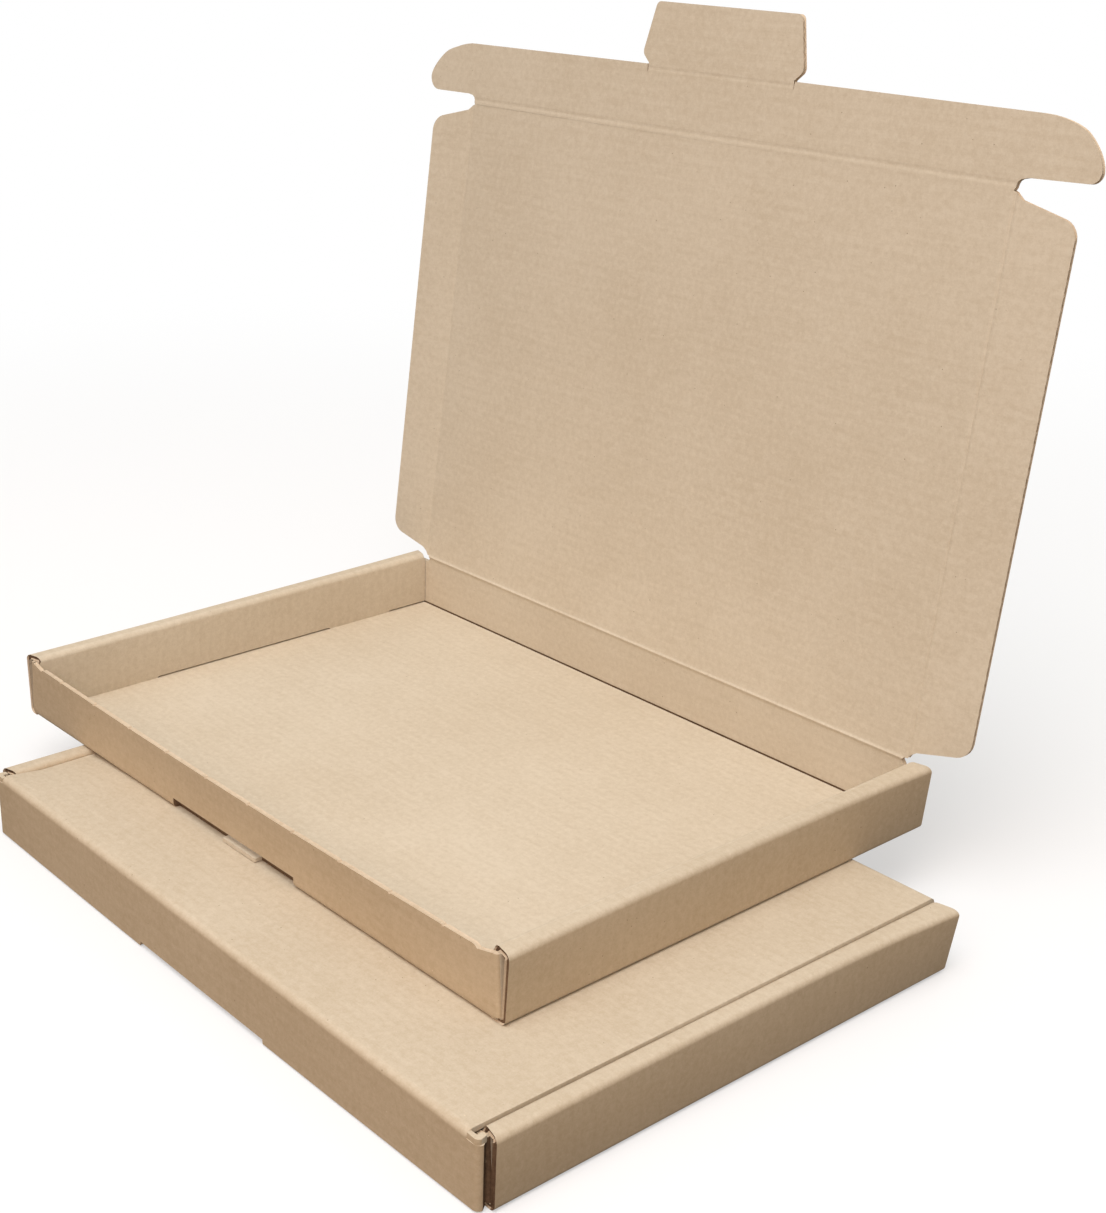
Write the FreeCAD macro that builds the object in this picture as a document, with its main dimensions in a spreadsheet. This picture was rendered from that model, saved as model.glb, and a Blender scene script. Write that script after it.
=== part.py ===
import FreeCAD, Part
import os
import Sketcher

# Two identical one-piece mailing trays of fine corrugated board, one standing on the other.
# The lower tray is closed. The upper one is open, its lid standing up on the crease at the back.
# +X runs along the lid's crease, the front walls face -Y, +Z is up.
# The origin is the centre of the underside of the lower tray. Millimetres and degrees.

SIZES = [
    ("board", 1.4),
    ("tray_length", 230),
    ("tray_depth", 160),
    ("tray_height", 20),
    # inside of a fold, and the air left between two layers that slide past each other
    ("crease", 0.2),
    ("layer_gap", 0.1),
    # side walls: how far their ends stay behind the front face, the slant of the top strip's
    # ends, and the rounding of its long edges
    ("end_setback", 0.5),
    ("strip_slant", 1.6),
    ("strip_round", 1.3),
    ("wall_lift", 0.8),
    ("wall_tab_width", 27),
    ("wall_tab_place", 48.5),
    ("wall_tab_taper", 1.5),
    ("slot_clearance", 0.3),
    # front wall: free top edge with the small nicks where the cutting knife was bridged
    ("front_drop", 0.5),
    ("corner_step", 0.8),
    ("corner_step_length", 8),
    ("nick_width", 0.8),
    ("nick_depth", 0.4),
    ("nick_pitch", 20.6),
    ("corner_flap_length", 42),
    ("corner_flap_taper", 5),
    # lid and its flaps
    ("hinge_gap", 0.12),
    ("notch_radius", 1.8),
    ("flap_clearance", 0.4),
    ("flap_inset", 3),
    ("flap_taper", 3.8),
    ("flap_round", 4),
    ("side_clearance", 0.2),
    ("front_gap", 1),
    # the closed front flap stops this far above what the tray stands on
    ("hem_lift", 0.3),
    # bent over, the front flap reaches this much lower than its flat length
    ("bend_gain", 0.7),
    ("ear_reach", 16.8),
    ("ear_under", 1.5),
    ("ear_slope", 1.3),
    # the ear's slanted top corner: its width, and its height as a share of the flap's; the two
    # roundings at its tip are shares of the straight stretch between them
    ("ear_slant", 10.8),
    ("ear_drop", 0.43),
    ("ear_top_round", 14),
    ("ear_tip_round", 1.05),
    ("ear_low_round", 0.38),
    # barbed lock tab and the slot that it goes into
    ("lock_neck", 58),
    ("lock_barb", 3),
    ("lock_shoulder", 2.7),
    ("lock_taper", 3.5),
    ("lock_length", 19.5),
    ("lock_round", 1.5),
    ("lock_clearance", 0.75),
    ("tongue_width", 16),
    ("tongue_length", 2.6),
    # how the upper tray stands on the lower one, and how far its lid and flaps are bent
    ("stack_across", 31.75),
    ("stack_back", 27.95),
    ("stack_turn", 0.77),
    ("lid_angle", 96.9),
    ("left_bend", 8),
    ("right_bend", 7),
]

doc = FreeCAD.newDocument("CardboardTrays")
sheet = doc.addObject("Spreadsheet::Sheet", "Sizes")
for row, (name, size) in enumerate(SIZES, start=1):
    sheet.set(f"A{row}", name)
    sheet.set(f"B{row}", str(size))
    sheet.setAlias(f"B{row}", name)
doc.recompute()


def ref(text):
    """Write each size's name in a formula as a reference to the sheet."""
    words = dict(SIZES)
    out, word = "", ""
    for letter in text + " ":
        if letter.isalnum() or letter == "_":
            word += letter
        else:
            out += ("Sizes." + word if word in words else word) + letter
            word = ""
    return out.strip()


def number(text):
    """The value of a formula of sizes."""
    return float(sheet.evalExpression(ref(text)))


# Places that several pieces share, as formulas of the sizes.
SPINE = "(4 * board + 3 * layer_gap)"
HALF_LENGTH = "(tray_length / 2)"
HALF_DEPTH = "(tray_depth / 2)"
FOLD = "(board + crease)"
# outer face of the corner flaps, next to the inner side wall
FLAP_FACE = f"({HALF_LENGTH} - {SPINE} + 2 * board + layer_gap)"
# half length of the straight part of the front and back walls
WALL_HALF = f"({FLAP_FACE} - {FOLD} - 0.3)"
FRONT_TOP = "(tray_height - board - front_drop)"
BACK_TOP = "(tray_height - board - hinge_gap)"
INNER_FACE = f"({HALF_LENGTH} - {SPINE})"
# the lid's side score, so that its folded flap hangs just inside the inner side wall
SCORE = f"({INNER_FACE} - board / 2 - side_clearance)"
HINGE_Y = f"({HALF_DEPTH} - board / 2)"
HINGE_Z = "(tray_height - board / 2)"
# from the lid's crease to the score of its front flap, which closes over the front wall
LID_LENGTH = "(tray_depth + front_gap)"
FLAP_WIDTH = "(tray_height - board / 2 - board - flap_clearance)"
FRONT_FLAP = f"({HINGE_Z} - hem_lift - bend_gain)"
# from the front flap's score to the lock tab's, which comes to lie on the floor
LOCK_SCORE = f"({HINGE_Z} - 1.5 * board - layer_gap)"
LOCK_TOP = "(2 * board + 2 * layer_gap)"
SLOT_HALF = "(lock_neck / 2 + lock_clearance)"
# the lock tab is straight until it is clear of the front flap's free edge
LOCK_NECK_END = f"({FRONT_FLAP} - {LOCK_SCORE} + slot_clearance)"


def new_body(name):
    body = doc.addObject("PartDesign::Body", name)
    body.Label = name
    return body


def plane(body, role):
    return next(f for f in body.Origin.OriginFeatures if f.Role == role)


def new_sketch(body, name, role, offset=None):
    """A sketch on one of the body's own planes, moved along its normal by a formula."""
    sketch = body.newObject("Sketcher::SketchObject", name)
    sketch.AttachmentSupport = [(plane(body, role), "")]
    sketch.MapMode = "FlatFace"
    if offset:
        sketch.setExpression("AttachmentOffset.Base.z", ref(offset))
    return sketch


def place_point(sketch, index, end, x, y):
    """Tie a point of the sketch to its place, each coordinate a formula or 0."""
    for kind, formula, axis in (("DistanceX", x, -2), ("DistanceY", y, -1)):
        if formula == "0":
            sketch.addConstraint(Sketcher.Constraint("PointOnObject", index, end, axis))
            continue
        sketch.addConstraint(Sketcher.Constraint(kind, -1, 1, index, end, number(formula)))
        sketch.setExpression(f"Constraints[{sketch.ConstraintCount - 1}]", ref(formula))


def outline(sketch, corners):
    """A closed outline of straight lines through the given corners."""
    first = sketch.GeometryCount
    spots = [FreeCAD.Vector(number(x), number(y), 0) for x, y in corners]
    for i, spot in enumerate(spots):
        sketch.addGeometry(Part.LineSegment(spot, spots[(i + 1) % len(spots)]), False)
    for i, (x, y) in enumerate(corners):
        here, before = first + i, first + (i - 1) % len(corners)
        sketch.addConstraint(Sketcher.Constraint("Coincident", before, 2, here, 1))
        place_point(sketch, here, 1, x, y)


def ring(sketch, x, y, radius):
    centre = FreeCAD.Vector(number(x), number(y), 0)
    circle = Part.Circle(centre, FreeCAD.Vector(0, 0, 1), number(radius))
    index = sketch.addGeometry(circle, False)
    place_point(sketch, index, 3, x, y)
    sketch.addConstraint(Sketcher.Constraint("Radius", index, number(radius)))
    sketch.setExpression(f"Constraints[{sketch.ConstraintCount - 1}]", ref(radius))


def pad(body, sketch, name, length, middle=False, reverse=False):
    """Give the sketch its thickness: to both sides of its plane, or to one."""
    feature = body.newObject("PartDesign::Pad", name)
    feature.Profile = sketch
    feature.setExpression("Length", ref(length))
    feature.SideType = "Symmetric" if middle else "One side"
    feature.Reversed = reverse
    sketch.Visibility = False
    doc.recompute()
    return feature


def cut(body, sketch, name, length, middle=False, reverse=False):
    """Cut the sketch out of the body, and make sure that something went."""
    before = body.Shape.Volume
    feature = body.newObject("PartDesign::Pocket", name)
    feature.Profile = sketch
    feature.setExpression("Length", ref(length))
    feature.SideType = "Symmetric" if middle else "One side"
    feature.Reversed = reverse
    sketch.Visibility = False
    doc.recompute()
    if body.Shape.Volume > before - 1e-3:
        raise RuntimeError(f"{name} cuts nothing")
    return feature


def mirror(body, features, name, role="YZ_Plane"):
    """Repeat features on the other side of one of the body's planes."""
    feature = body.newObject("PartDesign::Mirrored", name)
    feature.Originals = features
    feature.MirrorPlane = (plane(body, role), [""])
    body.Tip = feature
    doc.recompute()
    return feature


def edges_along(shape, axis, spots):
    """Names of the straight edges along an axis that pass through the given spots."""
    others = [i for i in range(3) if i != axis]
    names = []
    for i, edge in enumerate(shape.Edges, start=1):
        if not isinstance(edge.Curve, (Part.Line, Part.LineSegment)):
            continue
        a, b = edge.Vertexes[0].Point, edge.Vertexes[-1].Point
        if abs(a[axis] - b[axis]) < 1e-4 or any(abs(a[k] - b[k]) > 1e-4 for k in others):
            continue
        if any(all(abs(a[k] - spot[n]) < 1e-3 for n, k in enumerate(others)) for spot in spots):
            names.append(f"Edge{i}")
    return names


def fillet(body, name, radius, axis, spots):
    """Round the edges along an axis at spots given by formulas, and check how many there are."""
    base = body.Tip
    where = [tuple(number(v) for v in spot) for spot in spots]
    names = edges_along(base.Shape, axis, where)
    if len(names) < len(spots):
        raise RuntimeError(f"{name} finds {len(names)} edges of {len(spots)}")
    feature = body.newObject("PartDesign::Fillet", name)
    feature.Base = (base, names)
    feature.setExpression("Radius", ref(radius))
    body.Tip = feature
    doc.recompute()
    return feature


def both(x, *rest):
    """A spot and its mirror image across the middle."""
    return [(x, *rest), (f"-1 * {x}", *rest)]


def rectangle(x0, x1, y0, y1):
    return [(x0, y0), (x1, y0), (x1, y1), (x0, y1)]


def add_floor_and_walls(body, closed):
    """Floor, front wall and back wall, bent from one strip along the folds."""
    top = "tray_height" if closed else BACK_TOP
    low, high = f"-1 * {HALF_DEPTH}", HALF_DEPTH
    corners = [(low, "0"), (high, "0")]
    if closed:
        # the lid goes on from the back wall and lies flush between the side walls' top strips
        corners += [(high, BACK_TOP)]
    else:
        corners += [(high, top)]
    corners += [(f"{HALF_DEPTH} - board", BACK_TOP), (f"{HALF_DEPTH} - board", "board"),
                (f"board - {HALF_DEPTH}", "board"), (f"board - {HALF_DEPTH}", FRONT_TOP),
                (low, FRONT_TOP)]
    sketch = new_sketch(body, "StripSection", "YZ_Plane")
    outline(sketch, corners)
    pad(body, sketch, "Strip", f"2 * {WALL_HALF}", middle=True)
    fillet(body, "BottomFolds", FOLD, 0, [(low, "0"), (high, "0")])
    fillet(body, "BottomCreases", "crease", 0,
           [(f"board - {HALF_DEPTH}", "board"), (f"{HALF_DEPTH} - board", "board")])


def add_side_walls(body):
    """Rolled side walls: up outside, across the top strip, down inside, locked by tabs."""
    outer, inner = HALF_LENGTH, INNER_FACE
    sketch = new_sketch(body, "OuterSideSection", "XZ_Plane")
    outline(sketch, [(f"{WALL_HALF} - 1", "0"), (outer, "0"), (outer, "tray_height"),
                     (inner, "tray_height"), (inner, "tray_height - board"),
                     (f"{outer} - board", "tray_height - board"), (f"{outer} - board", "board"),
                     (f"{WALL_HALF} - 1", "board")])
    side = pad(body, sketch, "OuterSide", "tray_depth - 2 * end_setback", middle=True)
    sketch = new_sketch(body, "InnerSideSection", "XZ_Plane")
    outline(sketch, rectangle(inner, f"{inner} + board", "board + wall_lift",
                              "tray_height - board / 2"))
    panel = pad(body, sketch, "InnerSide", "tray_depth - 2 * board - 4 * layer_gap", middle=True)
    mirror(body, [side, panel], "OtherSide")
    fillet(body, "SideBottomFolds", FOLD, 1, both(outer, "0"))
    fillet(body, "SideCreases", "crease", 1, both(f"({outer} - board)", "board"))
    fillet(body, "StripEdges", "min(strip_round; board - 0.1)", 1,
           both(outer, "tray_height") + both(inner, "tray_height"))

    # the ends of the top strip are cut on a slant, back towards the inside
    end, back = f"{HALF_DEPTH} - end_setback", f"{HALF_DEPTH} - end_setback - strip_slant"
    cuts = []
    for name, sign in (("Front", "-1 * "), ("Back", "")):
        sketch = new_sketch(body, f"StripEnd{name}Outline", "XY_Plane", "tray_height + 1")
        outline(sketch, [(f"{outer} - board", f"{sign}({end})"),
                         (f"{outer} - board", f"{sign}({end} + 1)"),
                         (f"{inner} - 1", f"{sign}({end} + 1)"),
                         (f"{inner} - 1", f"{sign}({back})"), (inner, f"{sign}({back})")])
        cuts.append(cut(body, sketch, f"StripEnd{name}", "board + 1.05"))
    mirror(body, cuts, "OtherStripEnds")

    # slots in the floor for the tabs of the inner panels
    cuts = []
    for name, sign in (("Front", "-1 * "), ("Back", "")):
        near = f"{sign}(wall_tab_place - wall_tab_width / 2 - slot_clearance)"
        far = f"{sign}(wall_tab_place + wall_tab_width / 2 + slot_clearance)"
        sketch = new_sketch(body, f"FloorSlot{name}Outline", "XY_Plane", "board + 1")
        outline(sketch, rectangle(f"{inner} - slot_clearance", f"{inner} + board + slot_clearance",
                                  near, far))
        cuts.append(cut(body, sketch, f"FloorSlot{name}", "board + 2"))
    mirror(body, cuts, "OtherFloorSlots")

    # the tabs themselves, tapered towards their free ends
    tabs = []
    sketch = new_sketch(body, "WallTabsOutline", "YZ_Plane", inner)
    for sign in ("-1 * ", ""):
        wide, slim = "wall_tab_width / 2", "(wall_tab_width / 2 - wall_tab_taper)"
        outline(sketch, [(f"{sign}(wall_tab_place - {wide})", "board + wall_lift + 0.5"),
                         (f"{sign}(wall_tab_place + {wide})", "board + wall_lift + 0.5"),
                         (f"{sign}(wall_tab_place + {slim})", "slot_clearance"),
                         (f"{sign}(wall_tab_place - {slim})", "slot_clearance")])
    tabs.append(pad(body, sketch, "WallTabs", "board"))
    mirror(body, tabs, "OtherWallTabs")


def add_corner_flaps(body):
    """The ends of the front and back walls fold back into the hollow side walls."""
    face = FLAP_FACE
    flaps = []
    for name, sign, top in (("Front", "-1 * ", FRONT_TOP), ("Back", "", BACK_TOP)):
        edge = f"{sign}{HALF_DEPTH}"
        inside = f"{sign}({HALF_DEPTH} - board)"
        deep = f"{sign}({HALF_DEPTH} - corner_flap_length)"
        sketch = new_sketch(body, f"CornerFlap{name}Section", "XY_Plane", "board + crease")
        outline(sketch, [(f"{WALL_HALF} - 0.5", edge), (face, edge), (face, deep),
                         (f"{face} - board", deep), (f"{face} - board", inside),
                         (f"{WALL_HALF} - 0.5", inside)])
        flaps.append(pad(body, sketch, f"CornerFlap{name}", f"{top} - board - crease"))
    mirror(body, flaps, "OtherCornerFlaps")
    low, inner = f"(board - {HALF_DEPTH})", f"({HALF_DEPTH} - board)"
    fillet(body, "CornerFolds", FOLD, 2,
           both(face, f"-1 * {HALF_DEPTH}") + both(face, HALF_DEPTH))
    fillet(body, "CornerCreases", "crease", 2,
           both(f"({face} - board)", low) + both(f"({face} - board)", inner))
    cuts = []
    for name, sign in (("Front", "-1 * "), ("Back", "")):
        sketch = new_sketch(body, f"FlapTaper{name}Outline", "YZ_Plane", f"{face} + layer_gap / 2")
        end = f"{sign}({HALF_DEPTH} - corner_flap_length)"
        root = f"{sign}({HALF_DEPTH} - corner_flap_length / 2)"
        outline(sketch, [(end, "board + crease"), (root, "board + crease"),
                         (end, "board + crease + corner_flap_taper")])
        cuts.append(cut(body, sketch, f"FlapTaper{name}", "board + layer_gap"))
    mirror(body, cuts, "OtherFlapTapers")


def add_front_edge(body):
    """Stepped ends and bridge nicks along the front wall's raw top edge."""
    start = f"({FLAP_FACE} - corner_step_length)"
    front = f"{HALF_DEPTH} + 1"
    sketch = new_sketch(body, "CornerStepOutline", "XZ_Plane", front)
    outline(sketch, [(start, FRONT_TOP), (f"{start} + corner_step", f"{FRONT_TOP} - corner_step"),
                     (f"{FLAP_FACE} + layer_gap / 2", f"{FRONT_TOP} - corner_step"),
                     (f"{FLAP_FACE} + layer_gap / 2", f"{FRONT_TOP} + layer_gap"),
                     (start, f"{FRONT_TOP} + layer_gap")])
    step = cut(body, sketch, "CornerStep", "board + 1 + crease + 0.5")
    mirror(body, [step], "OtherCornerStep")

    sketch = new_sketch(body, "NickOutline", "XZ_Plane", front)
    middle = "4.5 * nick_pitch"
    outline(sketch, rectangle(f"-1 * ({middle}) - nick_width / 2", f"nick_width / 2 - {middle}",
                              f"{FRONT_TOP} - nick_depth", f"{FRONT_TOP} + 1"))
    nick = cut(body, sketch, "Nick", "board + 2")
    row = body.newObject("PartDesign::LinearPattern", "NickRow")
    row.Originals = [nick]
    row.Direction = (plane(body, "X_Axis"), [""])
    row.setExpression("Length", ref("9 * nick_pitch"))
    row.Occurrences = 10
    body.Tip = row
    doc.recompute()


def add_lock_slot(body, tongue):
    """The slot along the front bottom fold that takes the lock tab."""
    sketch = new_sketch(body, "LockSlotOutline", "XZ_Plane", f"{HALF_DEPTH} + 1")
    outline(sketch, rectangle(f"-1 * {SLOT_HALF}", SLOT_HALF, "-1", f"{LOCK_TOP} + layer_gap"))
    cut(body, sketch, "LockSlot", f"1 + {FOLD} + crease")
    if tongue:
        # a strip of the slot's waste stays on the floor's edge as a short tongue
        sketch = new_sketch(body, "TongueOutline", "XY_Plane")
        outline(sketch, rectangle("-1 * tongue_width / 4", "3 * tongue_width / 4",
                                  f"-1 * {HALF_DEPTH} - tongue_length + {FOLD}",
                                  f"{FOLD} + 2 * crease + 0.5 - {HALF_DEPTH}"))
        pad(body, sketch, "Tongue", "board")


def add_tray(body, closed):
    add_floor_and_walls(body, closed)
    add_side_walls(body)
    add_corner_flaps(body)
    add_front_edge(body)
    add_lock_slot(body, tongue=not closed)


def add_closed_lid(body):
    """Lid folded down, its side flaps inside, its front flap over the front wall."""
    side = f"({SCORE} + board / 2)"
    high = f"({HALF_DEPTH})"
    front = f"({HALF_DEPTH} + front_gap + board)"
    hem = "hem_lift"
    sketch = new_sketch(body, "LidSection", "YZ_Plane")
    outline(sketch, [(high, f"{BACK_TOP} - 0.5"), (high, "tray_height"),
                     (f"-1 * {front}", "tray_height"), (f"-1 * {front}", hem),
                     (f"board - {front}", hem), (f"board - {front}", "tray_height - board"),
                     (f"{high} - board", "tray_height - board"),
                     (f"{high} - board", f"{BACK_TOP} - 0.5")])
    pad(body, sketch, "Lid", f"2 * {side}", middle=True)
    # the scores stop at a round notch in each front corner, and all four folds are rounded
    sketch = new_sketch(body, "LidNotchOutline", "XY_Plane", "tray_height + 1")
    ring(sketch, side, f"-1 * {front}", "notch_radius + board / 2")
    notch = cut(body, sketch, "LidNotch", "1 + ear_under + board")
    mirror(body, [notch], "OtherLidNotch")
    fillet(body, "LidFolds", "board - 0.05", 0,
           [(high, "tray_height"), (f"-1 * {front}", "tray_height")])
    fillet(body, "LidSideFolds", "board - 0.1", 1, both(side, "tray_height"))

    # side flaps hang inside the inner side walls
    sketch = new_sketch(body, "SideFlapOutline", "YZ_Plane", f"{side} - board")
    root, tip = "flap_inset", "(flap_inset + flap_taper)"
    hang = f"({HINGE_Z} - {FLAP_WIDTH})"
    low, back = f"{HALF_DEPTH} + front_gap", HALF_DEPTH
    outline(sketch, [(f"{root} - ({low})", "tray_height - board / 2"),
                     (f"{back} - {root}", "tray_height - board / 2"),
                     (f"{back} - {tip}", hang), (f"{tip} - ({low})", hang)])
    flap = pad(body, sketch, "SideFlap", "board")
    mirror(body, [flap], "OtherSideFlap")

    # the ears bend round the corners into the gap beside the corner flaps
    face = f"({HALF_LENGTH} - board - layer_gap)"
    depth = f"({SCORE} - {face} + ear_reach + {SPINE} + board)"
    sketch = new_sketch(body, "EarSection", "XY_Plane", f"{hem} + ear_slope")
    outline(sketch, [(f"{side} - 1", f"-1 * {front}"), (face, f"-1 * {front}"),
                     (face, f"{depth} - {front}"), (f"{face} - board", f"{depth} - {front}"),
                     (f"{face} - board", f"board - {front}"), (f"{side} - 1", f"board - {front}")])
    ear = pad(body, sketch, "Ear", f"{FRONT_FLAP} + bend_gain - ear_under - ear_slope")
    mirror(body, [ear], "OtherEar")
    fillet(body, "EarFolds", FOLD, 2, both(face, f"-1 * {front}"))
    fillet(body, "EarCreases", "crease", 2, both(f"({face} - board)", f"(board - {front})"))

    # the lock tab folds in through the slot and lies on the floor, above the flap's free edge
    root = f"-1 * {front}"
    fold = "board + layer_gap"
    sketch = new_sketch(body, "HemNotchOutline", "XZ_Plane", f"{front} + 1")
    outline(sketch, rectangle(f"-1 * {SLOT_HALF}", SLOT_HALF, "0", fold))
    cut(body, sketch, "HemNotch", "board + 1 + crease")
    sketch = new_sketch(body, "LockTabOutline", "XY_Plane", fold)
    score = f"(board / 2 - {front})"
    outline(sketch, lock_corners(root, f"{score} + front_gap + 1.5 * board + layer_gap", score))
    pad(body, sketch, "LockTab", "board")
    fillet(body, "LockFold", "board - 0.05", 0, [(root, fold)])


def lock_corners(root, neck_end, score="0"):
    """Outline of the barbed tab: straight neck, shoulders, tapered sides, as y from its score."""
    neck, barb = "lock_neck / 2", "(lock_neck / 2 + lock_barb)"
    wide, tip = f"{score} + {LOCK_NECK_END} + lock_shoulder", f"({barb} - lock_taper)"
    return [(f"-1 * {neck}", root), (neck, root), (neck, neck_end), (barb, wide),
            (tip, f"{score} + lock_length"), (f"-1 * {tip}", f"{score} + lock_length"),
            (f"-1 * {barb}", wide), (f"-1 * {neck}", neck_end)]


def roll_end(body, half_from, half_to, role="YZ_Plane"):
    """The rounded end of a panel, centred on its fold line."""
    sketch = new_sketch(body, "FoldLine", role, half_from)
    ring(sketch, "0", "0", "board / 2")
    pad(body, sketch, "FoldEdge", f"{half_to} - ({half_from})")


def make_lid():
    """Lid panel, drawn flat from its crease at the origin towards +Y, inside up."""
    body = new_body("upper_lid")
    half = f"({SCORE} - board / 2 - hinge_gap)"
    end = f"({LID_LENGTH} - board / 2 - hinge_gap)"
    sketch = new_sketch(body, "LidOutline", "XY_Plane")
    outline(sketch, [(f"-1 * {half}", "0"), (half, "0"), (half, end), (f"-1 * {half}", end)])
    pad(body, sketch, "Panel", "board", middle=True)
    roll_end(body, f"-1 * {half}", half)
    # a round notch at each corner, where two scores meet
    sketch = new_sketch(body, "NotchOutline", "XY_Plane", "board")
    ring(sketch, f"{SCORE}", f"{LID_LENGTH}", "notch_radius")
    ring(sketch, f"{SCORE}", "-1 * board / 2", "notch_radius")
    notch = cut(body, sketch, "Notch", "2 * board")
    mirror(body, [notch], "OtherNotches")
    return body


def make_side_flap(name, sign):
    """Side flap of the lid, drawn flat from its fold line, outwards along +X or -X."""
    body = new_body(name)
    root, tip = "flap_inset", "(flap_inset + flap_taper)"
    sketch = new_sketch(body, "FlapOutline", "XY_Plane")
    outline(sketch, [("0", root), (f"{sign}{FLAP_WIDTH}", tip),
                     (f"{sign}{FLAP_WIDTH}", f"{LID_LENGTH} - {tip}"), ("0", f"{LID_LENGTH} - {root}")])
    pad(body, sketch, "Panel", "board", middle=True)
    fillet(body, "OuterCorners", "flap_round", 2,
           [(f"{sign}{FLAP_WIDTH}", tip), (f"{sign}{FLAP_WIDTH}", f"{LID_LENGTH} - {tip}")])
    sketch = new_sketch(body, "FoldLine", "XZ_Plane", f"-1 * ({LID_LENGTH} - {root})")
    ring(sketch, "0", "0", "board / 2")
    pad(body, sketch, "FoldEdge", f"{LID_LENGTH} - 2 * {root}")
    return body


def make_front_flap():
    """Front flap with its ears, drawn flat from its fold line towards +Y."""
    body = new_body("upper_front_flap")
    half = f"({SCORE} - board / 2 - hinge_gap)"
    tip = f"({HALF_LENGTH} + ear_reach)"
    top = f"({LOCK_SCORE} - board / 2 - hinge_gap)"
    rim = FRONT_FLAP
    slit = f"({SLOT_HALF})"
    low, under = "ear_under", "(ear_under + ear_slope)"
    sketch = new_sketch(body, "FlapOutline", "XY_Plane")
    turn, side = f"({tip} - ear_slant)", f"({rim} - ear_drop * {rim})"
    outline(sketch, [(f"-1 * {half}", "0"), (half, "0"), (f"{SCORE} + notch_radius", low),
                     (tip, under), (tip, side), (turn, rim), (slit, rim), (slit, top),
                     (f"-1 * {slit}", top), (f"-1 * {slit}", rim), (f"-1 * {turn}", rim),
                     (f"-1 * {tip}", side), (f"-1 * {tip}", under),
                     (f"-1 * ({SCORE} + notch_radius)", low)])
    pad(body, sketch, "Panel", "board", middle=True)
    fillet(body, "EarTops", "ear_top_round", 2, both(turn, rim))
    fillet(body, "EarTips", f"ear_tip_round * ({side} - {under})", 2, both(tip, side))
    fillet(body, "EarBottoms", f"ear_low_round * ({side} - {under})", 2, both(tip, under))
    roll_end(body, f"-1 * {half}", half)
    return body


def make_lock_tab():
    """Barbed lock tab, drawn flat from its fold line towards +Y."""
    body = new_body("upper_lock_tab")
    sketch = new_sketch(body, "TabOutline", "XY_Plane")
    outline(sketch, lock_corners("0", LOCK_NECK_END))
    pad(body, sketch, "Panel", "board", middle=True)
    barb = "(lock_neck / 2 + lock_barb)"
    fillet(body, "TipCorners", "lock_round", 2, both(f"({barb} - lock_taper)", "lock_length"))
    fillet(body, "Barbs", "lock_barb / 4", 2, both(barb, f"{LOCK_NECK_END} + lock_shoulder"))
    roll_end(body, "-1 * lock_neck / 2", "lock_neck / 2")
    return body


def frame_at(offset, axis, angle):
    return FreeCAD.Placement(FreeCAD.Vector(*offset), FreeCAD.Rotation(FreeCAD.Vector(*axis), angle))


lower = new_body("lower_tray")
add_tray(lower, closed=True)
add_closed_lid(lower)
lower.Placement = frame_at((0, 0, 0), (0, 0, 1), -number("stack_turn"))
lower.setExpression("Placement.Rotation.Angle", ref("stack_turn"))

upper = new_body("upper_tray")
add_tray(upper, closed=False)
upper.Placement = frame_at((-1, 1, 1), (0, 0, 1), 0)
for part, formula in (("x", "-1 * stack_across"), ("y", "stack_back"), ("z", "tray_height")):
    upper.setExpression(f"Placement.Base.{part}", ref(formula))

# The open lid and its flaps lie in one another's frames: drawn flat, each is carried to its fold line.
stand = frame_at((-number("stack_across"), number("stack_back"), number("tray_height")), (0, 0, 1), 0)
crease = frame_at((0, number(HINGE_Y), number(HINGE_Z)), (1, 0, 0), 180 - number("lid_angle"))
lid_frame = stand.multiply(crease)
lid = make_lid()
lid.Placement = lid_frame
left = make_side_flap("upper_dust_flap_left", "-1 * ")
left.Placement = lid_frame.multiply(
    frame_at((-number(SCORE), 0, 0), (0, 1, 0), number("left_bend")))
right = make_side_flap("upper_dust_flap_right", "")
right.Placement = lid_frame.multiply(
    frame_at((number(SCORE), 0, 0), (0, 1, 0), number("right_bend")))
front = make_front_flap()
front.Placement = lid_frame.multiply(frame_at((0, number(LID_LENGTH), 0), (1, 0, 0), 0))
lock = make_lock_tab()
lock.Placement = lid_frame.multiply(
    frame_at((0, number(f"{LID_LENGTH} + {LOCK_SCORE}"), 0), (1, 0, 0), 0))
doc.recompute()

bodies = [lower, upper, lid, left, right, front, lock]
faulty = [o.Name for o in doc.Objects if "Invalid" in o.State or "Error" in o.State]
if faulty:
    raise RuntimeError("failed objects: " + ", ".join(faulty))
for body in bodies:
    if body.Shape.isNull() or not body.Shape.isValid() or len(body.Shape.Solids) != 1:
        raise RuntimeError(f"{body.Label} is not one valid solid")

os.makedirs("parts", exist_ok=True)
for body in bodies:
    body.Shape.exportStep(f"parts/{body.Label}.step")
    box = body.Shape.BoundBox
    print(f"{body.Label}: {box.XLength:.1f} x {box.YLength:.1f} x {box.ZLength:.1f} mm, "
          f"{body.Shape.Volume / 1000:.2f} cm3")
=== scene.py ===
from math import cos, pi, radians, sin

import bmesh
import bpy
from mathutils import Matrix, Vector


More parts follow.
